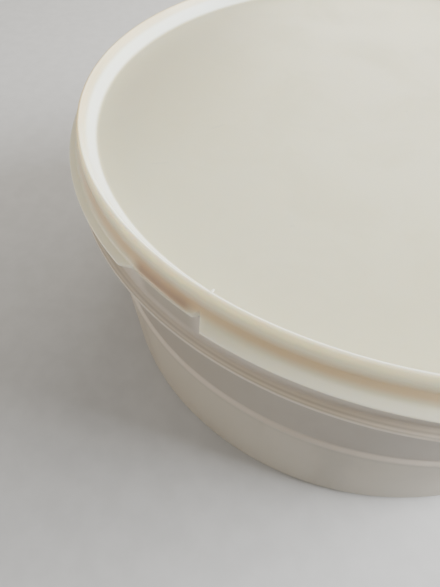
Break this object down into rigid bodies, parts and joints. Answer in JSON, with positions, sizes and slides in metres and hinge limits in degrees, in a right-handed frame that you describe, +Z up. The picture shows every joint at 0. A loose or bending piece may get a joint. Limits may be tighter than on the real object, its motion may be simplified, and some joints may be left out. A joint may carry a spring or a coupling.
{
  "type": "plastic storage tub",
  "caption": "Round off-white plastic food tub with its press-on lid shut, a thin rib under the lip, a ledge round the wall and a finger notch.",
  "frame": {"origin": "centre of the base's flat underside", "axes": "+Z up along the tub's axis of turning; the finger notch in the lid's lip is 22.5 degrees from -Y towards -X"},
  "size_m": [0.28, 0.28, 0.1179],
  "materials": {
    "tub_plastic": "satin",
    "lid_plastic": "satin"
  },
  "bodies": {
    "root": {"tub": "tub_plastic", "lid": "lid_plastic"}
  },
  "joints": []
}
